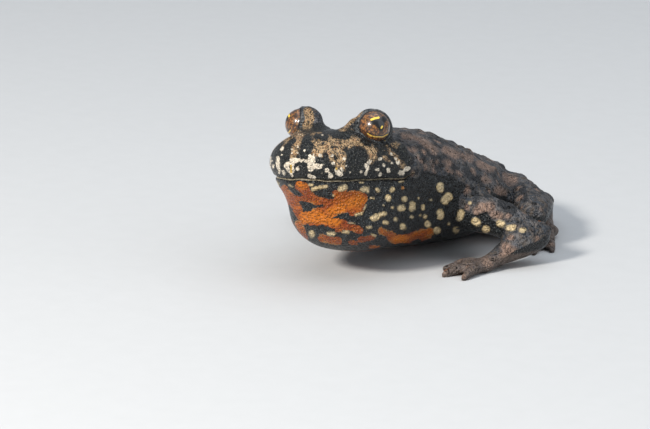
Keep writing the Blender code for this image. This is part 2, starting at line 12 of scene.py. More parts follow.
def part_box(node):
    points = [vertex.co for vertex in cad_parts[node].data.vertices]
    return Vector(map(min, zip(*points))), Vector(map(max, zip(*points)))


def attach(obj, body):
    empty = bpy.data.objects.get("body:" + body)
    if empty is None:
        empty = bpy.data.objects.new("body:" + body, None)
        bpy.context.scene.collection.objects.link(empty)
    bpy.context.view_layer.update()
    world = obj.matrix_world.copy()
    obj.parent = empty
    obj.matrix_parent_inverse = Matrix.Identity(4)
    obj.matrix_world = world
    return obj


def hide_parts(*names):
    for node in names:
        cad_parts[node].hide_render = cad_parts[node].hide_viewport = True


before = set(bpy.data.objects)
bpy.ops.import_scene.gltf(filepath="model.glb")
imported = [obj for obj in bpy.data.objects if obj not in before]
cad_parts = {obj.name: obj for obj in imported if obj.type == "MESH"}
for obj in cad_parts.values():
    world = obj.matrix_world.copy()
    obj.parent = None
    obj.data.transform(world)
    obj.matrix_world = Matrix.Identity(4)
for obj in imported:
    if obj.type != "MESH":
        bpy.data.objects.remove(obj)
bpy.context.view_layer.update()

# The view: a long lens looks slightly down on the left front of the toad. All lengths are
# millimetres. The toad's own measures start at the floor below its snout and run to its left,
# back and up.
MM = 0.001
PICTURE_WIDTH, PICTURE_HEIGHT = 650, 429
LENS, SENSOR = 180.0, 36.0
VIEW_TURN, VIEW_TILT = 36.0, 15.0
PIXELS_PER_MM = 9.0
SNOUT_PIXEL = (291.6, 290.0)
SNOUT_PLACE = Vector((-0.133, -22.935, 0.0))

turn, tilt = math.radians(VIEW_TURN), math.radians(VIEW_TILT)
to_camera = Vector((
    math.sin(turn) * math.cos(tilt),
    -math.cos(turn) * math.cos(tilt),
    math.sin(tilt),
))
rightward = Vector((math.cos(turn), math.sin(turn), 0.0))
upward = to_camera.cross(rightward)
focal_pixels = LENS / SENSOR * PICTURE_WIDTH
camera_place = SNOUT_PLACE + to_camera * focal_pixels / PIXELS_PER_MM
camera_place -= rightward * (SNOUT_PIXEL[0] - PICTURE_WIDTH / 2) / PIXELS_PER_MM
camera_place += upward * (SNOUT_PIXEL[1] - PICTURE_HEIGHT / 2) / PIXELS_PER_MM

lens = bpy.data.cameras.new("view")
lens.lens = LENS
lens.sensor_width = SENSOR
lens.clip_start = 0.01
lens.clip_end = 20.0
camera = bpy.data.objects.new("view", lens)
bpy.context.scene.collection.objects.link(camera)
camera.location = camera_place * MM
camera.rotation_euler = (-to_camera).to_track_quat("-Z", "Y").to_euler()
bpy.context.scene.camera = camera
bpy.context.scene.view_settings.view_transform = "Standard"


def sight(x, y):
    """The direction in which the camera sees a pixel."""
    across = (x - PICTURE_WIDTH / 2) / focal_pixels
    down = (y - PICTURE_HEIGHT / 2) / focal_pixels
    return (rightward * across - upward * down - to_camera).normalized()


# The floor: a wide round sheet of matt pale paper, cut flat, which the toad stands on. It is
# painted as every piece is: a material is written as sums of wires, each of which is one value
# or colour on its way through the shader.
FLOOR_RADIUS = 2500.0
FLOOR_COLOUR, FIBRE_LIGHTER = (0.57, 0.58, 0.59), 1.05


class Wire:
    """A socket of a shader. Arithmetic on wires adds Math nodes."""

    def __init__(self, shader, socket):
        self.shader, self.socket = shader, socket

    def math(self, operation, *values):
        values = dict(enumerate(values))
        return self.shader.node("Math", {"operation": operation}, values)

    def __add__(self, other):
        return self.math("ADD", self, other)

    def __radd__(self, other):
        return self.math("ADD", other, self)

    def __sub__(self, other):
        return self.math("SUBTRACT", self, other)

    def __rsub__(self, other):
        return self.math("SUBTRACT", other, self)

    def __mul__(self, other):
        return self.math("MULTIPLY", self, other)

    def __rmul__(self, other):
        return self.math("MULTIPLY", other, self)

    def __truediv__(self, other):
        return self.math("DIVIDE", self, other)

    def __rtruediv__(self, other):
        return self.math("DIVIDE", other, self)

    def __abs__(self):
        return self.math("ABSOLUTE", self)

    def least(self, other):
        return self.math("MINIMUM", self, other)

    def ramp(self, low, high):
        """Rises smoothly from 0 at low to 1 at high, or falls where low is above high."""
        return self.shader.node(
            "MapRange",
            {"interpolation_type": "SMOOTHSTEP"},
            {"Value": self, "From Min": low, "From Max": high},
        )


class Shader:
    """A material with one Principled shader, built up from wires."""

    def __init__(self, name):
        self.material = bpy.data.materials.new(name)
        self.material.use_nodes = True
        self.tree = self.material.node_tree
        self.surface = self.tree.nodes["Principled BSDF"]

    def node(self, kind, settings=None, values=None, output=0):
        made = self.tree.nodes.new("ShaderNode" + kind)
        for key, value in (settings or {}).items():
            setattr(made, key, value)
        for key, value in (values or {}).items():
            self.join(made.inputs[key], value)
        return Wire(self, made.outputs[output])

    def join(self, socket, value):
        if isinstance(value, Wire):
            self.tree.links.new(value.socket, socket)
        elif isinstance(value, tuple) and len(value) == 3 and socket.type == "RGBA":
            socket.default_value = (*value, 1.0)
        else:
            socket.default_value = value

    def set(self, **values):
        """Sets sockets of the Principled shader, named with _ for a space."""
        for key, value in values.items():
            self.join(self.surface.inputs[key.replace("_", " ")], value)

    def field(self, name):
        """A value stored on the points of the mesh."""
        return self.node("Attribute", {"attribute_name": name}, output="Fac")

    def place(self):
        """The point of the surface in millimetres, in the piece's own frame."""
        own = self.node("TexCoord", output="Object")
        return self.node(
            "VectorMath", {"operation": "SCALE"}, {"Vector": own, "Scale": 1 / MM}
        )

    def noise(self, place, per_mm, detail=2.0, roughness=0.5):
        """Smooth random values about 0.5, with features of 1 / per_mm millimetres."""
        return self.node(
            "TexNoise",
            {},
            {"Vector": place, "Scale": per_mm, "Detail": detail, "Roughness": roughness},
        )

    def cells(self, place, per_mm):
        """Distances to scattered points, which lie about 1 / per_mm millimetres apart."""
        return self.node(
            "TexVoronoi", {}, {"Vector": place, "Scale": per_mm}, output="Distance"
        )

    def mix(self, share, under, over):
        """Lays one colour over another."""
        return self.node(
            "Mix", {"data_type": "RGBA"}, {0: share, 6: under, 7: over}, output=2
        )

    def relief(self, height, depth, below=None):
        """A normal from a height, which stands depth millimetres proud at 1."""
        values = {"Height": height, "Distance": depth * MM}
        if below is not None:
            values["Normal"] = below
        return self.node("Bump", {}, values)


bm = bmesh.new()
bmesh.ops.create_circle(bm, cap_ends=True, segments=96, radius=FLOOR_RADIUS * MM)
sheet = bpy.data.meshes.new("floor_sheet")
bm.to_mesh(sheet)
bm.free()
floor = bpy.data.objects.new("floor_sheet", sheet)
bpy.context.scene.collection.objects.link(floor)
paper = Shader("pale_paper")
fibre = paper.noise(paper.place(), 0.4, 3.0)
paper.set(
    Base_Color=paper.mix(
        fibre, FLOOR_COLOUR, tuple(c * FIBRE_LIGHTER for c in FLOOR_COLOUR)
    ),
    Roughness=0.85,
)
sheet.materials.append(paper.material)


# The lights: a warm key lamp on the left of the view, which lights the snout and the eye, a wide
# soft box over the back, a faint one on the right, and an even pale room.
LAMPS_AIM = Vector((0.0, 12.0, 12.0))
ROOM_COLOUR, ROOM_LIGHT = (0.86, 0.92, 1.0, 1.0), 0.34


def lamp(name, across, out, up, width, power, colour):
    """An area lamp aimed at the head, placed from it across, out of and up the view."""
    light = bpy.data.lights.new(name, "AREA")
    light.shape = "DISK"
    light.size = width * MM
    light.energy = power
    light.color = colour
    made = bpy.data.objects.new(name, light)
    bpy.context.scene.collection.objects.link(made)
    away = rightward * across + to_camera * out + Vector((0.0, 0.0, up))
    made.location = (SNOUT_PLACE + LAMPS_AIM + away) * MM
    made.rotation_euler = away.to_track_quat("Z", "Y").to_euler()


lamp("key", -250.0, 260.0, 170.0, 90.0, 2.1, (1.0, 0.95, 0.88))
lamp("top", 60.0, -60.0, 480.0, 700.0, 1.3, (0.9, 0.95, 1.0))
lamp("side", 330.0, 160.0, 160.0, 400.0, 0.4, (0.93, 0.97, 1.0))

room = bpy.data.worlds.new("room")
room.use_nodes = True
room.node_tree.nodes["Background"].inputs["Color"].default_value = ROOM_COLOUR
room.node_tree.nodes["Background"].inputs["Strength"].default_value = ROOM_LIGHT
bpy.context.scene.world = room


# The skin: one thin moist hide over the whole toad, without seams, warty above and smooth
# below. It is spun over the solids, closed across the cuts between them and drawn in again.
GROW, GRAIN, WELD = 0.25, 0.2, 0.001
SKIN_PASSES, SKIN_SMOOTHING = 7, 0.5
HEAD_PITCH, HEAD_ROLL, MOUTH_HEIGHT = 9.0, 5.9, 12.65
BROW_FILL, BROW_FILL_RADII = (4.0, 10.4, 4.2), (1.85, 2.15, 1.75)

head_frame = Matrix.Translation(SNOUT_PLACE + Vector((0.0, 0.0, MOUTH_HEIGHT)))
head_frame @= Matrix.Rotation(-math.radians(HEAD_PITCH), 4, "X")
head_frame @= Matrix.Rotation(-math.radians(HEAD_ROLL), 4, "Y")
head_turn = head_frame.to_3x3()

joined = bmesh.new()
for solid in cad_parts.values():
    part = bmesh.new()
    part.from_mesh(solid.data)
    bmesh.ops.remove_doubles(part, verts=part.verts, dist=WELD * MM)
    part.normal_update()
    for vert, normal in [(v, v.normal.copy()) for v in part.verts]:
        vert.co += normal * GROW * MM
    grown = bpy.data.meshes.new("grown")
    part.to_mesh(grown)
    part.free()
    joined.from_mesh(grown)
    bpy.data.meshes.remove(grown)
for side in (1, -1):
    place = head_frame @ Vector((side * BROW_FILL[0], BROW_FILL[1], BROW_FILL[2]))
    spread = head_turn.to_4x4() @ Matrix.Diagonal((*BROW_FILL_RADII, 1.0))
    spread = Matrix.Translation(place * MM) @ spread
    bmesh.ops.create_icosphere(joined, subdivisions=4, radius=MM, matrix=spread)
hide = bpy.data.meshes.new("toad_skin")
joined.to_mesh(hide)
joined.free()
skin = bpy.data.objects.new("toad_skin", hide)
bpy.context.scene.collection.objects.link(skin)


def keep_evaluated(piece):
    """Makes what the piece's modifiers show its own mesh."""
    bpy.context.view_layer.update()
    graph = bpy.context.evaluated_depsgraph_get()
    shown = bpy.data.meshes.new_from_object(piece.evaluated_get(graph))
    piece.modifiers.clear()
    old = piece.data
    piece.data = shown
    bpy.data.meshes.remove(old)
    shown.name = piece.name


remesh = skin.modifiers.new("remesh", "REMESH")
remesh.mode = "VOXEL"
remesh.voxel_size = GRAIN * MM
smooth = skin.modifiers.new("smooth", "SMOOTH")
smooth.factor = SKIN_SMOOTHING
smooth.iterations = SKIN_PASSES
keep_evaluated(skin)


def skin_points():
    flat = np.empty(len(skin.data.vertices) * 3, np.float32)
    skin.data.vertices.foreach_get("co", flat)
    return flat.reshape(-1, 3).astype(float) / MM


def skin_normals():
    flat = np.empty(len(skin.data.vertices) * 3, np.float32)
    skin.data.vertex_normals.foreach_get("vector", flat)
    return flat.reshape(-1, 3).astype(float)


def set_skin(points):
    skin.data.vertices.foreach_set("co", (points * MM).astype(np.float32).ravel())
    skin.data.update()


def rise(value, low, high):
    """Rises smoothly from 0 at low to 1 at high."""
    share = np.clip((value - low) / (high - low), 0.0, 1.0)
    return share * share * (3 - 2 * share)


def bell(value, middle, width):
    return np.exp(-(((value - middle) / width) ** 2))


def in_head(points):
    """Points as left, back and up from the snout tip, in the plane of the mouth."""
    return (points - np.array(head_frame.translation)) @ np.array(head_turn)


set_skin(skin_points() - skin_normals() * GROW)

# The eyes' places come from their solids, and the way they look from the head.
EYE_YAW, EYE_PITCH = 46.0, 11.0
EYE_SHIFT = (-0.1, -0.12, 0.12)
eyes = {}
for side, name in ((1, "left_eye"), (-1, "right_eye")):
    low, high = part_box(name)
    yaw, pitch = math.radians(EYE_YAW), math.radians(EYE_PITCH)
    aim = head_turn @ Vector((
        side * math.sin(yaw) * math.cos(pitch),
        -math.cos(yaw) * math.cos(pitch),
        math.sin(pitch),
    ))
    shift = head_turn @ Vector((side * EYE_SHIFT[0], EYE_SHIFT[1], EYE_SHIFT[2]))
    eyes[name] = ((low + high) / 2 / MM + shift, aim.normalized())


MOUTH_CORNER, CORNER_HOOK, MOUTH_DROP = 12.0, 0.7, 0.22
NOSTRIL = (1.9, 2.4, 4.25)


def mouth_height(own):
    """The height of the mouth line above its plane: it waves, and hooks up at the corner."""
    wave = 0.06 * np.sin(own[:, 0] * 1.1 + 0.6) + 0.03 * np.sin(own[:, 0] * 2.7 + own[:, 1])
    hook = CORNER_HOOK * rise(own[:, 1], MOUTH_CORNER - 1.2, MOUTH_CORNER + 0.7)
    return wave - MOUTH_DROP + hook


def near_face(points):
    """Where the lids, the lips and the nostrils need a finer mesh."""
    own = in_head(points)
    mouth = (np.abs(own[:, 2] - mouth_height(own)) < 0.75) & (own[:, 1] < 13.4)
    mouth &= own[:, 1] ** 2 + own[:, 0] ** 2 > 6.0
    close = mouth
    for centre, aim in eyes.values():
        away = points - np.array(centre)
        reach = np.linalg.norm(away, axis=1)
        facing = away @ np.array(aim) / np.maximum(reach, 1e-6)
        close |= (reach < 2.9) & (facing > -0.25)
    for side in (1, -1):
        nostril = np.array((side * NOSTRIL[0], NOSTRIL[1], NOSTRIL[2]))
        close |= np.linalg.norm(own - nostril, axis=1) < 0.9
    return close


def refine(near, cuts):
    """Splits the skin's faces near a feature and rounds them."""
    for _ in range(cuts):
        bm = bmesh.new()
        bm.from_mesh(skin.data)
        chosen = near(np.array([v.co for v in bm.verts]) / MM)
        bm.verts.index_update()
        edges = [e for e in bm.edges if all(chosen[v.index] for v in e.verts)]
        bmesh.ops.subdivide_edges(bm, edges=edges, cuts=1, use_grid_fill=True)
        chosen = near(np.array([v.co for v in bm.verts]) / MM)
        verts = [v for v, inside in zip(bm.verts, chosen) if inside]
        for _ in range(3):
            bmesh.ops.smooth_vert(
                bm, verts=verts, factor=0.5, use_axis_x=True, use_axis_y=True, use_axis_z=True
            )
        bmesh.ops.triangulate(bm, faces=[f for f in bm.faces if len(f.verts) > 4])
        bm.to_mesh(skin.data)
        bm.free()


def soften(points, share, passes):
    """Evens out points between their neighbours, each by its share."""
    ends = np.empty(len(skin.data.edges) * 2, np.int64)
    skin.data.edges.foreach_get("vertices", ends)
    here, there = ends.reshape(-1, 2).T
    count = np.bincount(here, minlength=len(points)) + np.bincount(there, minlength=len(points))
    for _ in range(passes):
        middle = np.stack([
            np.bincount(here, points[there, k], len(points))
            + np.bincount(there, points[here, k], len(points))
            for k in range(3)
        ], axis=1) / count[:, None]
        points = points + (middle - points) * share[:, None]
    return points


def eye_distance(points):
    """The distance from each point to the middle of the nearer eye."""
    away = [np.linalg.norm(points - np.array(centre), axis=1) for centre, _ in eyes.values()]
    return np.min(away, axis=0)


def near_head(points):
    """The head and throat, whose markings are fine."""
    own = in_head(points)
    return (own[:, 1] < 17.0) & (own[:, 2] > -11.0)


# The face is evened out, and the snout's roof stands a little higher than its solid between
# the eyes and the nostrils.
FACE_PASSES, LID_PASSES, LIP_PASSES, EVENING = 26, 30, 36, 0.6
CROWN_RISE, CROWN_MIDDLE, CROWN_LENGTH, CROWN_SIDES = 0.45, 7.0, 4.2, (2.4, 4.6)
points = skin_points()
own = in_head(points)
eye_gap = eye_distance(points)
flesh = (1 - rise(own[:, 1], 12.0, 16.0)) * rise(own[:, 2], -9.0, -6.0) * rise(eye_gap, 2.2, 3.2)
points = soften(points, flesh * EVENING, FACE_PASSES)
crown = CROWN_RISE * bell(own[:, 1], CROWN_MIDDLE, CROWN_LENGTH) * rise(own[:, 2], 2.6, 4.4)
crown *= (1 - rise(np.abs(own[:, 0]), *CROWN_SIDES)) * rise(eye_gap, 1.9, 2.7)
set_skin(points + crown[:, None] * np.array(head_turn.col[2]))
refine(near_head, 1)
refine(near_face, 1)

# Lids: the skin stands up in a rim round each eye, turns under it, and passes below the ball.
# Their widths are degrees from the middle of the eye.
EYEBALL, EYE_OPENING = 1.88, 70.0
LID_EDGE, LID_HEIGHT, LID_REACH = 9.0, 0.17, 42.0
LID_SINK, LID_STEP, LID_FOLD = 0.42, 0.44, 0.07
DOME_AIM, DOME_RISE, DOME_WIDTH = (-0.7, 0.15, 0.7), 0.3, 36.0
lid_fields = {}
points = skin_points()
ring = np.zeros(len(points))
for name, (centre, aim) in eyes.items():
    away = points - np.array(centre)
    reach = np.linalg.norm(away, axis=1)
    angle = np.degrees(np.arccos(np.clip(away @ np.array(aim) / reach, -1, 1)))
    close = (reach < 3.6) & (angle < 135.0)
    past = angle - EYE_OPENING
    target = EYEBALL - LID_SINK + LID_STEP * rise(past, -13.0, 0.0)
    target += LID_HEIGHT * rise(past, -1.0, LID_EDGE) - LID_FOLD * bell(past, 20.0, 5.0)
    share = (1 - rise(past, 16.0, LID_REACH)) * close
    moved = np.array(centre) + away / reach[:, None] * target[:, None]
    points = points * (1 - share[:, None]) + moved * share[:, None]
    lid_fields[name] = (past, close)
    side = 1 if name == "left_eye" else -1
    dome = head_turn @ Vector((side * DOME_AIM[0], DOME_AIM[1], DOME_AIM[2])).normalized()
    off_dome = np.degrees(np.arccos(np.clip(away @ np.array(dome) / reach, -1, 1)))
    raised = DOME_RISE * bell(off_dome, 0.0, DOME_WIDTH) * rise(past, 6.0, 26.0)
    points = points + away / reach[:, None] * (raised * (reach < 4.2))[:, None]
    ring = np.maximum(ring, rise(past, 14.0, 30.0) * (1 - rise(past, 55.0, 75.0)) * close)
points = soften(points, ring * EVENING, LID_PASSES)
set_skin(points)

# Lips and nostrils: a dark groove parts two low rolls, and each nostril is a rimmed pit.
LIP_ROLL, LIP_GROOVE, LIP_TUCK, CHIN_TUCK = 0.07, 0.2, 0.3, 0.7
NOSTRIL_RIM, NOSTRIL_PIT = 0.1, 0.34
points = skin_points()
own = in_head(points)
step = bell(own[:, 2] + 0.1, 0.0, 0.55) * (1 - rise(own[:, 1], 12.5, 15.0))
set_skin(soften(points, step, LIP_PASSES))
points, normals = skin_points(), skin_normals()
own = in_head(points)
line = own[:, 2] - mouth_height(own)
ahead = (1 - rise(own[:, 1], MOUTH_CORNER + 0.1, MOUTH_CORNER + 0.9)) * (
    rise(own[:, 1] ** 2 + own[:, 0] ** 2, 1.0, 3.0) + (own[:, 1] < 1.5)
).clip(0, 1)
lift = LIP_ROLL * (bell(line, 0.36, 0.22) + 0.8 * bell(line, -0.34, 0.22))
lift -= LIP_GROOVE * bell(line, 0.0, 0.11)
lift *= ahead
lift -= LIP_TUCK * ahead * (1 - rise(line, 0.0, 1.5)) * (line > 0)
lift -= LIP_TUCK * CHIN_TUCK * ahead * (1 - rise(-line, 0.0, 1.1)) * (line <= 0)
for side in (1, -1):
    gap = np.linalg.norm(own - np.array((side * NOSTRIL[0], NOSTRIL[1], NOSTRIL[2])), axis=1)
    lift += NOSTRIL_RIM * bell(gap, 0.42, 0.16) - NOSTRIL_PIT * bell(gap, 0.0, 0.24)
set_skin(points + normals * lift[:, None])


# Warts: low round glands, scattered over the back, the neck and the upper sides of the limbs,
# with finer ones between them, each kind with its count, radii and heights. Three low ridges,
# each a height, a radius and a path in pixels of the view, run behind and below the near eye.
WART_KINDS = ((170, 0.34, 0.62, 0.1, 0.2), (900, 0.2, 0.32, 0.035, 0.07))
WART_FALL, WART_REACH, TALL_WART, FLAT_HEIGHT = 1.6, 1.8, 0.2, 0.07
RIDGES = (
    (0.32, 0.85, ((404, 134), (416, 140), (428, 148), (440, 160))),
    (0.16, 0.6, ((399, 146), (409, 157), (416, 170), (417, 184))),
    (0.14, 0.7, ((352, 147), (362, 152), (376, 153), (390, 148))),
)
points, normals = skin_points(), skin_normals()
own = in_head(points)
calm = normals.copy()


def surface():
    """The skin as it is now, for finding the nearest place on it."""
    mesh = skin.data
    corners = [v.co / MM for v in mesh.vertices]
    return BVHTree.FromPolygons(corners, [tuple(p.vertices) for p in mesh.polygons])


ground = surface()


def landing(x, y):
    """The place on the skin that the camera sees at a pixel, and the pixel's size there."""
    place, _, _, distance = ground.ray_cast(camera_place, sight(x, y))
    return place, (distance or 0.0) / focal_pixels


def to_path(points, path):
    """The distance from each point to a path of one or more places."""
    best = np.full(len(points), np.inf)
    path = list(path) if len(path) > 1 else [path[0], path[0]]
    for start, end in zip(path, path[1:]):
        start, along = np.array(start), np.array(end) - np.array(start)
        share = np.clip((points - start) @ along / max(along @ along, 1e-9), 0, 1)
        best = np.minimum(best, np.linalg.norm(points - start - share[:, None] * along, axis=1))
    return best


tree = KDTree(len(points))
for i, point in enumerate(points):
    tree.insert(point, i)
tree.balance()

draw = random.Random(11)
eye_gap = eye_distance(points)
warty = (normals[:, 2] > 0.05) & (points[:, 2] > 2.0) & (eye_gap > 3.0)
warty &= own[:, 1] > 9.5
lift = np.zeros(len(points))
for count, least, most, low, high in WART_KINDS:
    able = np.nonzero(warty)[0]
    for _ in range(count):
        place = points[draw.choice(able)]
        radius, height = draw.uniform(least, most), draw.uniform(low, high)
        for _, i, gap in tree.find_range(place, radius * WART_REACH):
            lift[i] = max(lift[i], height * math.exp(-WART_FALL * (gap / radius) ** 2))
wart = lift.copy()
for height, radius, path in RIDGES:
    path = [landing(x, y)[0] for x, y in path]
    lift += height * bell(to_path(points, path), 0.0, radius)
points = points + normals * lift[:, None]
points[:, 2] = np.where(points[:, 2] < FLAT_HEIGHT, 0.0, points[:, 2])
set_skin(points)
ground = surface()

# Markings, as strokes with a radius and a path in pixels of the view: orange on the throat,
# black islands in it, tan and black on the snout, cream spots, and pink flecks on the cheek.
ORANGE = (
    (5.3, (300.5, 186.5), (304.5, 188.5)),
    (4.2, (284.5, 189.5), (291, 197.5), (297.5, 207)),
    (4.5, (305.5, 192), (312, 198), (320, 202)),
    (5.0, (290, 199), (298, 210), (304, 220)),
    (2.7, (292, 198.4), (303, 198.6), (313, 200.5)),
    (3.4, (299, 213), (309, 214.5)),
    (3.0, (322, 204), (316, 211)),
    (5.0, (318, 203), (332, 205)),
    (7.2, (337.5, 199.5), (352, 197), (360, 198.5)),
    (5.0, (337, 195), (344, 193.5)),
    (6.0, (338, 208), (352, 206), (359, 206)),
    (3.4, (352, 212.5), (359, 209.5)),
    (6.2, (316, 214), (332, 211.5)),
    (5.6, (311, 220), (326, 219)),
    (5.0, (328, 222), (338, 224)),
    (4.0, (341, 223.5), (350, 226)),
    (3.6, (350, 226.5), (360, 230.5)),
    (2.6, (338, 229), (345, 230.5)),
    (4.0, (298.5, 224), (302, 232), (304, 238)),
    (4.0, (321.5, 238), (331, 240), (338, 241)),
    (2.7, (351.5, 242.3), (355, 243)),
    (3.0, (360, 240), (367, 238.3), (372, 237)),
    (3.4, (381, 231), (387.5, 233.5)),
    (5.0, (391, 236), (396, 240), (408, 239)),
    (4.4, (410, 238), (419, 234.5), (430, 231.5)),
    (2.4, (421, 239), (429, 236)),
    (2.0, (371, 247), (378, 247)),
    (1.6, (402.9, 187.9)),
)
ISLANDS = (
    (1.6, (289.5, 188.2), (293, 190.6), (299.5, 194.6)),
    (1.5, (302, 202.5), (308, 206.3), (315.5, 206.6), (321.5, 205.4)),
    (1.6, (303.5, 206), (304.5, 210.5), (310, 209.2)),
    (1.5, (344, 216.6), (350, 217.6), (357, 219), (362, 219.5)),
    (4.6, (314.5, 187.5), (325, 190)),
    (2.6, (329, 193.8), (331.5, 196.5)),
    (1.1, (348, 190.5), (352, 189.5)),
    (1.0, (289, 205.5), (292, 210)),
    (1.9, (399.5, 230), (404, 232)),
    (1.8, (414, 242), (419, 240.3)),
)
TAN = (
    (3.9, (300, 136), (296.8, 142), (294.8, 150)),
    (3.5, (294.8, 150), (293.6, 157)),
    (1.0, (283, 147.3), (288.2, 139.6), (294, 137), (300, 133.5)),
    (4.4, (315, 143.5), (322, 148), (318, 152)),
    (7.6, (328, 144), (336, 150)),
    (4.0, (318, 139.5), (336, 141)),
    (5.4, (330, 154), (338, 160)),
    (4.6, (340, 154), (343, 160)),
    (3.0, (339, 165), (342, 167)),
    (3.6, (314.5, 152), (321, 154)),
    (4.6, (345, 142.5), (356, 139.8)),
    (4.4, (350, 145), (364, 144)),
    (3.6, (366, 146.5), (372, 151)),
    (4.3, (372, 150), (373, 156)),
    (2.8, (377, 149.5), (389, 150.5)),
    (2.8, (382, 147), (391, 146.2), (397, 144)),
    (2.2, (391, 153), (392.5, 155)),
    (2.0, (371, 158), (370, 162)),
    (1.4, (384.5, 157), (389, 161)),
    (2.0, (395.5, 157), (400, 163), (404, 168)),
    (1.3, (313, 134.5), (320, 132.5)),
    (1.5, (341, 130.5), (347, 129)),
    (2.6, (346, 127), (354, 118), (360, 112)),
    (2.2, (352, 132), (356, 137)),
    (4.6, (308, 112), (310, 118), (307, 125)),
    (2.0, (290, 130), (297, 131)),
)
BLOTCHES = (
    (9.8, (357, 155), (356, 160)),
    (8.0, (353, 163), (360, 167)),
    (3.8, (335.5, 135), (347, 135.5)),
    (3.0, (316.5, 136.3), (325.5, 138)),
    (4.4, (306, 141), (306.5, 148)),
    (2.9, (311, 145), (309.5, 151)),
    (2.5, (303.5, 152), (309, 155)),
    (1.7, (297.5, 156.8)),
    (2.6, (294, 140), (290, 144)),
    (4.2, (287.5, 148), (285.6, 153), (285.6, 159)),
    (2.6, (317.5, 159.5), (322.5, 160.5)),
    (2.9, (326, 155), (326.5, 164)),
    (1.5, (332.5, 147.5), (337, 147)),
    (1.8, (335.3, 157.3)),
    (1.2, (346.8, 148.4)),
    (1.4, (364.4, 149.2)),
    (1.7, (379.5, 152.5), (386, 153.5)),
    (2.2, (390, 157), (393, 160)),
    (2.2, (302, 163), (304, 166)),
    (2.6, (355, 122), (352.5, 126)),
    (0.9, (340, 143)),
    (0.9, (323, 143.5)),
    (0.8, (298, 148.6)),
)
# Pale patches on the snout. The strokes on the wet top of the snout and the one at the nostril
# are painted highlights.
PALE_AND_HIGHLIGHTS = (
    (0.8, (270.9, 157.5), (269.2, 166), (271.7, 172.6), (278, 177.3)),
    (1.0, (271.7, 161)),
    (1.1, (273.2, 165.3), (273.6, 167)),
    (1.9, (278, 157.8), (277.7, 162), (278, 167)),
    (1.1, (279.2, 169.5), (279.5, 172.8)),
    (1.2, (282.9, 171), (284.2, 174.3)),
    (1.1, (281.7, 155)),
    (1.1, (281.6, 149.8), (283, 147.3)),
    (2.2, (286.6, 166), (288.5, 163.8), (292, 161.3)),
    (2.4, (292, 161), (296, 160.3)),
    (1.9, (286.8, 166.5), (289, 170.2)),
    (1.3, (292.9, 163), (293, 171)),
    (1.0, (290.3, 172), (292.5, 176)),
    (1.1, (291.8, 153.4)),
    (1.0, (297.6, 153)),
    (0.8, (298, 146.8)),
    (0.8, (292.2, 149.4)),
    # These two strokes are a painted highlight on the wet snout.
    (1.5, (299.5, 159.8), (301.5, 161.2)),
    (1.5, (303, 160), (306.5, 161.2)),
    (3.7, (311.4, 159.5), (311, 167.8)),
    (2.7, (315.5, 166), (319, 166.6)),
    (1.3, (321.5, 164.6)),
    (1.3, (309.7, 155.5)),
    (2.0, (297.6, 168.9)),
    (1.4, (304.7, 150.5)),
    (0.9, (313.7, 154.3)),
    (1.8, (319.9, 155.2)),
    (1.5, (332, 155.3)),
    (2.2, (326.6, 170)),
    (1.1, (327, 170), (330, 174.5)),
    (2.6, (330.5, 175.6)),
    (1.7, (309.4, 175.8), (314.4, 177.5)),
    (1.7, (333.1, 163.4)),
    (0.6, (321.5, 173.5)),
    # This stroke is a painted glint at the nostril.
    (0.9, (322.4, 135)),
    (1.6, (344.3, 158.6)),
    (2.4, (337.8, 172), (340, 173.8)),
    (1.5, (336, 170.3), (337.5, 173)),
    (1.2, (342, 170.8), (341.3, 168.2)),
    (1.3, (360.9, 171.9)),
    (2.2, (366.3, 165.8), (366.6, 167)),
    (1.3, (367.4, 168.5), (366, 173)),
    (1.4, (365.8, 174)),
    (1.5, (369.6, 161.5), (368.5, 163)),
    (1.6, (380.3, 158.9)),
    (1.6, (383.6, 165)),
    (1.8, (377.2, 169.6)),
    (1.7, (388.2, 169.8), (388.4, 171)),
    (1.1, (379, 175.4), (381, 173.7)),
    (1.4, (391.8, 163.3)),
    (2.0, (398.2, 162.5)),
    (1.3, (395.6, 158.6)),
    (1.5, (391.2, 153.8)),
    (2.5, (401, 172.7), (402.5, 173)),
    (2.0, (405.3, 169.8), (408.4, 167.9)),
    (0.6, (323, 163), (324, 165)),
    (0.5, (350, 172)),
    (0.5, (346, 166)),
)
GLOW = (
    (5.0, (306, 216), (320, 217.5), (334, 221)),
    (4.0, (350, 204), (360, 200)),
    (3.0, (300, 184), (303, 186)),
    (3.0, (342, 208), (330, 212)),
    (2.5, (396, 239), (404, 238)),
)
GOLD = (
    (0.95, (290.9, 165.5), (291.2, 172)),
    (0.6, (336, 167.5), (336.6, 169.5)),
    (0.7, (363.5, 138.5), (364.2, 139)),
    (0.7, (367.5, 140.8)),
    (0.7, (371.2, 142)),
    (0.8, (375.4, 142.6), (376.4, 142.6)),
    (0.7, (380.4, 142.2)),
    (0.8, (385.3, 140.8)),
)
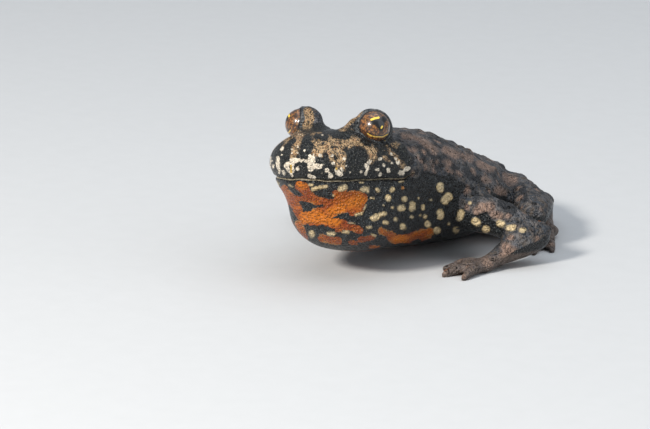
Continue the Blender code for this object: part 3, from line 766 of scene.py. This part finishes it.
CREAM = (
    (2.0, (313, 189.2), (316, 188.2)),
    (2.0, (319.5, 187.2), (326.5, 186.4)),
    (3.2, (340.4, 188.8), (344.8, 187)),
    (3.2, (363, 189.6), (366.5, 188.8)),
    (2.0, (366.5, 188), (368, 191.5)),
    (1.3, (333.3, 195.4)),
    (1.3, (370.8, 198.4), (373.5, 198.4)),
    (2.5, (377.8, 190)),
    (2.4, (391.5, 190.5), (392.5, 189)),
    (3.5, (388.1, 198.2)),
    (3.2, (404.8, 199.2)),
    (3.5, (400.3, 208), (402.6, 207.6)),
    (3.4, (412.4, 204.2), (412.4, 208.4)),
    (2.2, (422.8, 206.4), (423, 208.4)),
    (3.4, (373.2, 218.4), (377, 216.4)),
    (2.5, (379.5, 215.4), (384.5, 213.4)),
    (2.0, (384, 222.8), (387, 223)),
    (2.5, (395.8, 219.3)),
    (3.5, (402.9, 226.6)),
    (3.7, (427.8, 224.4)),
    (2.1, (411.8, 217)),
    (1.8, (367.5, 227.4), (371, 227)),
    (3.9, (440.2, 185.8), (440.5, 189)),
    (4.4, (444.8, 200.6), (448.6, 196.6)),
    (4.0, (440.3, 212.6), (440.3, 216)),
    (3.7, (461.6, 212.5), (459.2, 218)),
    (3.8, (437.1, 230.5)),
    (3.7, (456, 230)),
    (3.4, (311.5, 233.4), (312.2, 234.8)),
    (2.6, (328.6, 233.8), (333, 234.4)),
    (2.0, (343.5, 231.8), (348, 232.2)),
    (1.2, (348.5, 222.8), (354, 223.6)),
    (1.6, (356, 214.8), (361.5, 213.6)),
    (1.0, (366, 205), (364, 209.5)),
    (1.4, (371.5, 234.4), (375, 235.6)),
    (4.0, (475, 221), (477, 223)),
    (4.2, (486, 229.5)),
    (3.8, (499.5, 223.4), (502, 224)),
    (3.2, (508.5, 228.4), (513.5, 227.4)),
    (2.6, (521, 230), (524, 230)),
    (1.2, (360, 182.4), (363, 182)),
    (1.0, (276.5, 181.5), (279, 183.5)),
    (1.4, (309.5, 184.3), (312, 185)),
    (1.1, (289, 185), (292.5, 187)),
    (1.3, (399.5, 181.5), (403, 181)),
    (2.0, (470, 203)),
    (2.4, (425, 216.5)),
    (1.6, (392.5, 207.5)),
    (1.3, (384, 205.5)),
    (1.7, (431, 200)),
    (1.4, (418.5, 198)),
    (1.5, (420.5, 215.5)),
    (1.8, (449, 224)),
)
FLECKS = (
    (2.6, (403.4, 136), (416, 138.3), (426.6, 142), (436, 151)),
    (1.9, (419.7, 140.5), (426.6, 145.8), (433, 151)),
    (2.1, (413, 149), (414.5, 150.5)),
    (1.6, (404.5, 153), (407, 157)),
    (1.3, (418, 157.4), (422, 161.5)),
    (1.2, (425, 165), (426.2, 168.5)),
    (1.2, (411.8, 190.5), (414.5, 190.6)),
    (1.2, (418, 187.5), (418.8, 190)),
    (1.1, (430.8, 161.6), (433, 168), (435, 175)),
    (1.4, (446.6, 168.5), (451.8, 172)),
    (4.0, (446, 150), (456, 155)),
    (2.8, (446.5, 162), (449, 163.5)),
    (2.4, (458, 173), (460, 174)),
    (3.4, (464.5, 156), (470, 159)),
    (5.0, (481, 163), (491, 167)),
    (3.4, (484.5, 179), (488.5, 180.5)),
    (4.6, (506, 177), (513, 180)),
    (4.4, (498, 190), (502, 193)),
    (5.5, (482, 208), (490, 207)),
    (3.6, (493, 214), (500, 216)),
    (2.8, (476, 210), (476, 216)),
    (1.4, (405, 163.5)),
    (1.3, (409.5, 159)),
    (5.6, (506.5, 248), (509.5, 254)),
    (3.6, (514, 251), (519, 257)),
    (4.0, (486, 262), (491, 266.5)),
)
# Black spots on the back and flank. Two of the strokes are painted shadows on the flank.
SPOTS_AND_SHADOWS = (
    (4.0, (466, 170), (472, 177)),
    (3.0, (478, 178), (481, 184)),
    # A painted shadow on the flank.
    (6.0, (503, 203), (511, 210)),
    # A painted shadow between the body and the hind leg.
    (4.0, (521, 186), (525, 198)),
    (3.6, (493, 172), (499, 180)),
    (3.0, (441, 157), (448, 163), (455, 168)),
    (2.6, (419, 146), (426, 152), (434, 159)),
    (3.0, (430, 138), (440, 141), (452, 144)),
    (3.6, (455, 184), (464, 190)),
    (3.2, (470, 188), (478, 197)),
    (2.4, (398, 140), (402, 146)),
    (3.0, (422, 175), (428, 182)),
)


FAR_OUT, SMALLEST_PIXEL, SIGHT_START = 2.0, 0.1, 0.25


def in_view(points):
    """The pixels at which the camera sees points, and the pixels' sizes there."""
    away = points - np.array(camera_place)
    size = -(away @ np.array(to_camera)) / focal_pixels
    across = PICTURE_WIDTH / 2 + away @ np.array(rightward) / size
    down = PICTURE_HEIGHT / 2 - away @ np.array(upward) / size
    return np.stack((across, down), axis=1), size


def open_to_view(points, normals):
    """How far points on the skin face the camera, 0 where something stands before them."""
    facing = normals @ np.array(to_camera)
    for i in np.nonzero(facing > 0)[0]:
        start = Vector(points[i] + normals[i] * SIGHT_START)
        if ground.ray_cast(start, to_camera)[0] is not None:
            facing[i] = 0.0
    return rise(facing, 0.04, 0.22)


def across_head(points):
    """Points carried to the other side of the head, a little unevenly."""
    own = in_head(points)
    own[:, 0] = -own[:, 0]
    own += 0.28 * np.sin(own[:, [1, 2, 0]] * 0.83 + 1.7) + 0.12 * np.sin(own[:, [2, 0, 1]] * 2.1)
    return own @ np.array(head_turn).T + np.array(head_frame.translation)


seen = open_to_view(points, normals)
twins = across_head(points)
twin_rows = [tree.find(twin)[1] for twin in twins]
twin_seen = seen[twin_rows] * (1 - seen) * (points[:, 0] < 2.0)
pixels, pixel_size = in_view(points)
twin_pixels, _ = in_view(twins)


def from_view(strokes):
    """How far each point of the skin lies outside strokes laid in the view, in millimetres."""
    both = []
    for place in (pixels, twin_pixels):
        field = np.full(len(points), FAR_OUT)
        for radius, *path in strokes:
            path = np.array(path, float)
            reach = radius + FAR_OUT / SMALLEST_PIXEL
            close = np.all(place > path.min(axis=0) - reach, axis=1)
            close &= np.all(place < path.max(axis=0) + reach, axis=1)
            gap = to_path(place[close], path) - radius
            field[close] = np.minimum(field[close], gap * pixel_size[close])
        both.append(field)
    return both[0] * seen + both[1] * twin_seen + FAR_OUT * (1 - seen - twin_seen)


def scattered(able, spacing, count, seed):
    """Points picked at random from the able ones, none closer than a spacing."""
    draw = random.Random(seed)
    able = np.nonzero(able)[0]
    picked = []
    for _ in range(count):
        i = able[draw.randrange(len(able))]
        if not picked or np.min(np.linalg.norm(points[picked] - points[i], axis=1)) > spacing:
            picked.append(i)
    return picked


def on_skin(laid):
    """How far each point of the skin lies outside strokes laid on it, in millimetres."""
    field = np.full(len(points), FAR_OUT)
    for radius, path in laid:
        near = np.linalg.norm(points - np.array(path[0]), axis=1)
        length = sum((b - a).length for a, b in zip(path, path[1:]))
        close = near < length + radius + FAR_OUT
        field[close] = np.minimum(field[close], to_path(points[close], path) - radius)
    return field


# The underside starts low on the flanks and runs out along the limbs; above it the hide is
# slate and brown. The face in front of the jaw's corner is black, tan and cream.
under = 1 - rise(calm[:, 2], -0.12, 0.3)
under = np.maximum(under, (own[:, 2] < 0.0) & (own[:, 1] < 14.0))
face = (1 - rise(own[:, 1], 10.6, 13.2)) * rise(own[:, 2], -0.3, 0.1)
face *= 1 - 0.8 * rise(own[:, 2], 5.3, 6.4)
under *= 1 - rise(own[:, 2], -0.2, 0.2) * (1 - rise(own[:, 1], 11.5, 14.5))

hidden = seen + twin_seen < 0.05
free = (under > 0.55) & hidden

orange_marks = []
draw = random.Random(5)
for i in scattered(free, 3.0, 900, 21):
    path = [Vector(points[i])]
    heading = draw.uniform(0, 2 * math.pi)
    for _ in range(draw.randrange(1, 4)):
        heading += draw.uniform(-0.9, 0.9)
        step = Vector((math.cos(heading), math.sin(heading), 0.0)) * draw.uniform(0.7, 1.4)
        path.append(ground.find_nearest(path[-1] + step)[0])
    orange_marks.append((draw.uniform(0.45, 1.0), path))
orange_field = np.where(hidden, on_skin(orange_marks), FAR_OUT)
orange_field = np.minimum(from_view(ORANGE), orange_field)

cream_marks = [
    (draw.uniform(0.12, 0.36), [Vector(points[i])])
    for i in scattered(free & (orange_field > 0.45), 1.15, 2600, 22)
]
cream_field = np.where(hidden, on_skin(cream_marks), FAR_OUT)
cream_field = np.minimum(from_view(CREAM), cream_field)
fleck_marks = [
    (draw.uniform(0.15, 0.5), [Vector(points[i])])
    for i in scattered((under < 0.3) & (own[:, 1] > 12.0), 1.9, 900, 23)
]
fleck_field = np.minimum(from_view(FLECKS), on_skin(fleck_marks))
spot_marks = [
    (draw.uniform(0.2, 0.75), [Vector(points[i])])
    for i in scattered((under < 0.4) & (own[:, 1] > 11.5), 1.7, 900, 24)
]

lid_gap = np.full(len(points), 3.0)
for past, close in lid_fields.values():
    lid_gap = np.where(close, np.minimum(lid_gap, past / 30.0), lid_gap)
paw = rise(np.abs(points[:, 0]), 8.0, 9.2) * (1 - rise(points[:, 2], 1.5, 2.4))
line = own[:, 2] - mouth_height(own)
lip = np.where(own[:, 1] < MOUTH_CORNER + 0.5, line, 5.0)

FIELDS = {
    "orange": orange_field,
    "island": from_view(ISLANDS),
    "cream": cream_field,
    "tan": from_view(TAN),
    "blotch": from_view(BLOTCHES),
    "pale": from_view(PALE_AND_HIGHLIGHTS),
    "gold": from_view(GOLD),
    "glow": from_view(GLOW),
    "fleck": fleck_field,
    "spot": np.minimum(on_skin(spot_marks), from_view(SPOTS_AND_SHADOWS)),
    "under": under,
    "face": face,
    "wart": wart / TALL_WART,
    "lid": lid_gap,
    "paw": paw,
    "lip": np.clip(lip, -5.0, 5.0),
}
for name, values in FIELDS.items():
    attribute = skin.data.attributes.new(name, "FLOAT", "POINT")
    attribute.data.foreach_set("value", values.astype(np.float32))

# The hide's finish: black, slate and brown under the markings, each with a grainy edge. All of
# it is moist, with a fine pebbled grain, and the back is duller than the face and the belly.
hide_paint = Shader("moist_hide")
place = hide_paint.place()
coarse = hide_paint.noise(place, 0.55, 3.0)
middle = hide_paint.noise(place, 1.7, 3.0)
fine = hide_paint.noise(place, 5.5, 3.0, 0.6)
grain = hide_paint.noise(place, 14.0, 2.0, 0.6)
pebble = hide_paint.cells(place, 3.2)
speck = hide_paint.cells(place, 4.6)
lump = hide_paint.cells(place, 1.5)
ragged = (middle - 0.5) * 0.5 + (fine - 0.5) * 0.34 + (grain - 0.5) * 0.14


def mask(name, rough=1.0, soft=0.05):
    """1 inside a marking's strokes, with a ragged edge."""
    edge = hide_paint.field(name) + ragged * rough
    return edge.ramp(soft, -soft)


under = hide_paint.field("under") + (middle - 0.5) * 0.5
under = under.ramp(0.4, 0.6)
above = 1.0 - under
face = hide_paint.field("face").ramp(0.3, 0.7)
wart = hide_paint.field("wart")

# The back is slate and brown, with ashy and pink-tan patches, black spots, painted shadows and
# paler warts.
SLATE, BROWN, ASH = (0.036, 0.044, 0.056), (0.095, 0.078, 0.066), (0.155, 0.15, 0.155)
WART_TIP, SPOT_AND_SHADOW_BLACK, PORE_BLACK = (0.2, 0.15, 0.12), (0.014, 0.016, 0.02), (0.01, 0.012, 0.014)
PINK_TAN, PINK_BROWN = (0.4, 0.255, 0.185), (0.15, 0.1, 0.08)
back = hide_paint.mix((middle + (fine - 0.5) * 0.5).ramp(0.4, 0.62), SLATE, BROWN)
back = hide_paint.mix((coarse + (fine - 0.5) * 0.9).ramp(0.5, 0.62) * 0.6, back, ASH)
back = hide_paint.mix(wart.ramp(0.3, 0.9) * 0.6, back, WART_TIP)
pink = mask("fleck", 1.6, 0.25)
# Black spots, and painted shadows on the flank.
back = hide_paint.mix(mask("spot", 1.5, 0.16) * (0.9 - pink * 0.7), back, SPOT_AND_SHADOW_BLACK)
pink_tan = hide_paint.mix(fine.ramp(0.35, 0.65), PINK_BROWN, PINK_TAN)
back = hide_paint.mix(pink * 0.85, back, pink_tan)
back = hide_paint.mix((grain + (fine - 0.5)).ramp(0.55, 0.75) * 0.4, back, PORE_BLACK)

# The belly and the face are black. The face has an olive stipple and freckled tan patches.
BLACK, BELLY_GREY = (0.008, 0.009, 0.01), (0.04, 0.048, 0.052)
INK_GREY, OLIVE = (0.034, 0.04, 0.034), (0.11, 0.11, 0.06)
TAN_BROWN, TAN_LIGHT, RUST = (0.27, 0.185, 0.11), (0.56, 0.37, 0.19), (0.42, 0.2, 0.09)
FRECKLE_DARK = (0.03, 0.026, 0.02)
belly_tone = (fine + (middle - 0.5) * 0.6).ramp(0.5, 0.68) * 0.85
belly = hide_paint.mix(belly_tone, BLACK, BELLY_GREY)
ink = hide_paint.mix(fine.ramp(0.5, 0.75) * 0.8, BLACK, INK_GREY)
ink = hide_paint.mix(speck.ramp(0.2, 0.1) * middle.ramp(0.35, 0.6) * 0.8, ink, OLIVE)
freckle = hide_paint.mix(grain.ramp(0.38, 0.6), TAN_BROWN, TAN_LIGHT)
freckle = hide_paint.mix(middle.ramp(0.5, 0.66) * 0.5, freckle, RUST)
dark = (speck + (middle - 0.5) * 0.4).ramp(0.49, 0.37)
freckle = hide_paint.mix(dark * 0.92, freckle, FRECKLE_DARK)
snout = hide_paint.mix(mask("tan", 1.6, 0.2), ink, freckle)
snout = hide_paint.mix(mask("blotch", 1.0, 0.07), snout, ink)

# The throat's orange is deep with bright places, and yellower at its edge and in its specks.
ORANGE_DEEP, ORANGE_BRIGHT = (0.235, 0.04, 0.004), (0.52, 0.14, 0.004)
ORANGE_EDGE, ORANGE_SPECK = (0.38, 0.2, 0.07), (0.78, 0.31, 0.03)
orange_depth = hide_paint.field("orange") + ragged
glow = (coarse + (fine - 0.5) * 0.7).ramp(0.35, 0.68)
glow = (glow * 0.6 + (hide_paint.field("glow") + ragged).ramp(0.45, -0.25)).least(1.0)
orange = hide_paint.mix(glow, ORANGE_DEEP, ORANGE_BRIGHT)
edge = orange_depth.ramp(-0.25, -0.02) * coarse.ramp(0.48, 0.58)
orange = hide_paint.mix(edge * 0.8, orange, ORANGE_EDGE)
orange = hide_paint.mix(speck.ramp(0.24, 0.12) * 0.6, orange, ORANGE_SPECK)

colour = hide_paint.mix(under, back, belly)
tan = mask("tan")
lids = (1.0 - face) * hide_paint.field("face").ramp(0.05, 0.15)
colour = hide_paint.mix(face, colour, snout)
colour = hide_paint.mix(lids * tan, colour, freckle)
throat = orange_depth.ramp(0.04, -0.04) * (1.0 - mask("island"))
colour = hide_paint.mix(throat, colour, orange)

# Cream dots stand a little proud of the hide. The snout has whiter patches and painted
# highlights, touched with gold, and the hands and feet are browner than the limbs.
CREAM_DULL, CREAM_COLOUR, CREAM_CENTRE = (0.3, 0.25, 0.16), (0.6, 0.45, 0.235), (0.8, 0.62, 0.36)
PALE_AND_HIGHLIGHT_COLOUR, PALE_AND_HIGHLIGHT_DULL, GOLD_COLOUR = (0.97, 0.89, 0.74), (0.5, 0.4, 0.29), (0.62, 0.38, 0.06)
PAW_BROWN = (0.2, 0.14, 0.11)
cream_depth = hide_paint.field("cream") + ragged * 0.6
cream_tone = (coarse + (fine - 0.5) * 0.5).ramp(0.38, 0.56)
cream = hide_paint.mix(cream_tone, CREAM_DULL, CREAM_COLOUR)
cream = hide_paint.mix(cream_depth.ramp(-0.08, -0.26) * 0.75, cream, CREAM_CENTRE)
colour = hide_paint.mix(cream_depth.ramp(0.07, -0.12), colour, cream)
# Pale patches, together with painted highlights and a painted glint on the snout.
pale = hide_paint.mix(grain.ramp(0.3, 0.7), PALE_AND_HIGHLIGHT_COLOUR, PALE_AND_HIGHLIGHT_DULL)
colour = hide_paint.mix(mask("pale", 0.7), colour, pale)
colour = hide_paint.mix(mask("gold", 0.4), colour, GOLD_COLOUR)
colour = hide_paint.mix(hide_paint.field("paw").ramp(0.3, 0.8) * 0.45, colour, PAW_BROWN)

# The rim of the upper lip is a thin pale line over painted shade in the groove of the mouth.
# Each lid is grey, with painted shade at its rim by the eye and in the crease behind it.
LIP_RIM, GROOVE_SHADE = (0.36, 0.3, 0.2), (0.008, 0.008, 0.009)
LID_DARK, LID_GREY = (0.035, 0.042, 0.05), (0.13, 0.14, 0.145)
CREASE_SHADE, LID_RIM_SHADE = (0.01, 0.01, 0.012), (0.012, 0.012, 0.014)
lip = hide_paint.field("lip")
rim = abs(lip - 0.16).ramp(0.1, 0.04)
# Painted shade in the groove between the lips.
groove_shade = abs(lip + 0.02).ramp(0.1, 0.03)
colour = hide_paint.mix(rim * (0.8 + (fine - 0.5)), colour, LIP_RIM)
colour = hide_paint.mix(groove_shade * 0.9, colour, GROOVE_SHADE)
lid = hide_paint.field("lid")
lid_ring = lid.ramp(0.06, 0.16) * lid.ramp(0.75, 0.5)
lid_colour = hide_paint.mix((fine + middle - 0.5).ramp(0.4, 0.62), LID_DARK, LID_GREY)
colour = hide_paint.mix(lid_ring * (1.0 - tan * 0.9) * 0.85, colour, lid_colour)
# Painted shade in the crease behind the lid.
crease_shade = abs(lid - 0.82).ramp(0.14, 0.04) * (0.8 - tan * 0.6)
colour = hide_paint.mix(crease_shade, colour, CREASE_SHADE)
# Painted shade at the lid's rim, where it meets the eye and turns under it.
colour = hide_paint.mix(lid.ramp(0.12, 0.02) * 0.92, colour, LID_RIM_SHADE)

# Its relief, in millimetres: lumps on the back, pebbles all over, raised dots and fine grain.
LUMPS, PEBBLES, DOTS, FINE_GRAIN = 0.3, 0.24, 0.16, 0.08
bumps = hide_paint.relief((1.0 - lump.ramp(0.05, 0.5)) * above * (1.0 - face), LUMPS)
bumps = hide_paint.relief(1.0 - pebble.ramp(0.0, 0.75), PEBBLES, bumps)
bumps = hide_paint.relief(cream_depth.ramp(0.12, -0.14), DOTS, bumps)
bumps = hide_paint.relief(fine * 0.6 + grain * 0.4, FINE_GRAIN, bumps)
WETNESS = 0.37
hide_paint.set(
    Base_Color=colour,
    Roughness=0.17 + fine * 0.26 + above * (1.0 - face) * 0.2,
    Specular_IOR_Level=WETNESS,
    Normal=bumps,
)
skin.data.materials.clear()
skin.data.materials.append(hide_paint.material)
skin.data.shade_smooth()
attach(skin, "root")
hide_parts(*[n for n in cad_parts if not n.endswith("_eye")])


# The eyes: two glossy domes, each a copper iris flecked with gold round a dark three-cornered
# pupil, cast in one piece with its clear cornea and set in under the lids.
IRIS_EDGE, CORNEA_RISE, LIMBUS_DIP = 58.0, 0.09, 0.025
PUPIL_YAW, PUPIL_PITCH = 44.0, 11.0
PUPIL = (
    (2.9, (373.8, 121.9), (379.0, 122.0), (383.4, 119.4)),
    (2.5, (381.2, 121.6), (381, 128.6)),
    (2.0, (376.5, 123), (380, 127)),
    (1.5, (383.6, 119.4), (383, 124)),
)
CRESCENT = (
    (1.05, (371.4, 119.6), (374.8, 118.3), (378.6, 117.6)),
    (0.8, (382.2, 126.4), (381.4, 128)),
)
GOLD_ARC = ((0.5, (367.6, 133.6), (371, 135.8), (376, 136.9), (383, 136.8), (388.6, 133.9)),)
DARK_ARC = ((0.6, (366.4, 131.6), (371, 134.3), (376, 135.6), (383, 135.4), (388, 132.6)),)

bm = bmesh.new()
bmesh.ops.create_uvsphere(bm, u_segments=144, v_segments=96, radius=EYEBALL)
for vert in bm.verts:
    angle = math.degrees(vert.co.angle(Vector((0.0, 0.0, 1.0))))
    bulge = CORNEA_RISE * (1 - rise(angle, 8.0, IRIS_EDGE))
    bulge -= LIMBUS_DIP * bell(angle, IRIS_EDGE + 4, 5.0)
    vert.co *= 1 + bulge / EYEBALL
dome = bpy.data.meshes.new("eye")
bm.to_mesh(dome)
bm.free()
local = np.empty(len(dome.vertices) * 3, np.float32)
dome.vertices.foreach_get("co", local)
local = local.reshape(-1, 3).astype(float)


def eye_frame(name):
    """The eye's own frame: its Z looks out of the pupil and its Y points up."""
    centre, _ = eyes[name]
    yaw, pitch = math.radians(PUPIL_YAW), math.radians(PUPIL_PITCH)
    side = 1 if name == "left_eye" else -1
    out = head_turn @ Vector((
        side * math.sin(yaw) * math.cos(pitch),
        -math.cos(yaw) * math.cos(pitch),
        math.sin(pitch),
    ))
    up = head_turn @ Vector((0.0, 0.0, 1.0))
    across = up.cross(out).normalized()
    turned = Matrix((across, out.cross(across), out)).transposed()
    return Matrix.Translation(centre * MM) @ turned.to_4x4()


near = eye_frame("left_eye")
in_world = local @ np.array(near.to_3x3()).T + np.array(near.translation) / MM
eye_pixels, eye_pixel_size = in_view(in_world)
faces_out = (in_world - np.array(eyes["left_eye"][0])) @ np.array(to_camera) > 0


def on_eye(strokes):
    """How far each point of the near eye lies outside strokes laid in the view."""
    field = np.full(len(local), 1.0)
    for radius, *path in strokes:
        gap = to_path(eye_pixels, np.array(path, float)) - radius
        field = np.minimum(field, np.where(faces_out, gap * eye_pixel_size, 1.0))
    return np.minimum(field, 1.0)


EYE_FIELDS = {
    "pupil": on_eye(PUPIL),
    "crescent": on_eye(CRESCENT),
    "gold_arc": on_eye(GOLD_ARC),
    "dark_arc": on_eye(DARK_ARC),
}

DARK_COPPER, COPPER, AMBER = (0.06, 0.02, 0.01), (0.29, 0.11, 0.032), (0.6, 0.34, 0.07)
GOLD_THREAD, GOLD_CRESCENT = (0.75, 0.5, 0.1), (0.82, 0.58, 0.06)
VEIN_BLACK, ARC_BLACK = (0.02, 0.01, 0.008), (0.015, 0.01, 0.008)
PUPIL_BLACK, WALL_BLACK = (0.001, 0.001, 0.002), (0.012, 0.01, 0.012)
CORNEA_ROUGHNESS, CORNEA_IOR = 0.02, 1.34
iris = Shader("copper_eye")
place = iris.place()
out = iris.node("SeparateXYZ", values={"Vector": place}, output=2) / EYEBALL
fine = iris.noise(place, 3.2, 4.0, 0.7)
web = iris.cells(place, 3.4)
thin = iris.noise(place, 9.0, 3.0, 0.65)
colour = iris.mix(fine.ramp(0.38, 0.62), DARK_COPPER, COPPER)
colour = iris.mix(thin.ramp(0.54, 0.66) * 0.85, colour, AMBER)
colour = iris.mix(web.ramp(0.42, 0.6) * 0.85, colour, VEIN_BLACK)
thread = iris.field("gold_arc").ramp(0.03, -0.02) * thin.ramp(0.35, 0.5)
colour = iris.mix(thread, colour, GOLD_THREAD)
colour = iris.mix(iris.field("dark_arc").ramp(0.02, -0.03) * 0.9, colour, ARC_BLACK)
soft = iris.field("pupil") + (fine - 0.5) * 0.06
colour = iris.mix(soft.ramp(0.09, 0.02) * 0.5, colour, VEIN_BLACK)
colour = iris.mix(soft.ramp(0.015, -0.015), colour, PUPIL_BLACK)
colour = iris.mix(iris.field("crescent").ramp(0.02, -0.02), colour, GOLD_CRESCENT)
colour = iris.mix(out.ramp(0.47, 0.36), colour, WALL_BLACK)
iris.set(
    Base_Color=colour,
    Roughness=0.35 - thin.ramp(0.55, 0.7) * 0.1,
    Coat_Weight=1.0,
    Coat_Roughness=CORNEA_ROUGHNESS,
    Coat_IOR=CORNEA_IOR,
)

for name in eyes:
    shape = dome.copy()
    shape.name = "toad_" + name
    if name == "right_eye":
        shape.transform(Matrix.Scale(-1, 4, (1, 0, 0)))
        shape.flip_normals()
    for key, values in EYE_FIELDS.items():
        attribute = shape.attributes.new(key, "FLOAT", "POINT")
        attribute.data.foreach_set("value", values.astype(np.float32))
    shape.transform(Matrix.Scale(MM, 4))
    shape.materials.append(iris.material)
    shape.shade_smooth()
    eye = bpy.data.objects.new("toad_" + name, shape)
    bpy.context.scene.collection.objects.link(eye)
    eye.matrix_world = eye_frame(name)
    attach(eye, "root")
    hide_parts(name)
bpy.data.meshes.remove(dome)
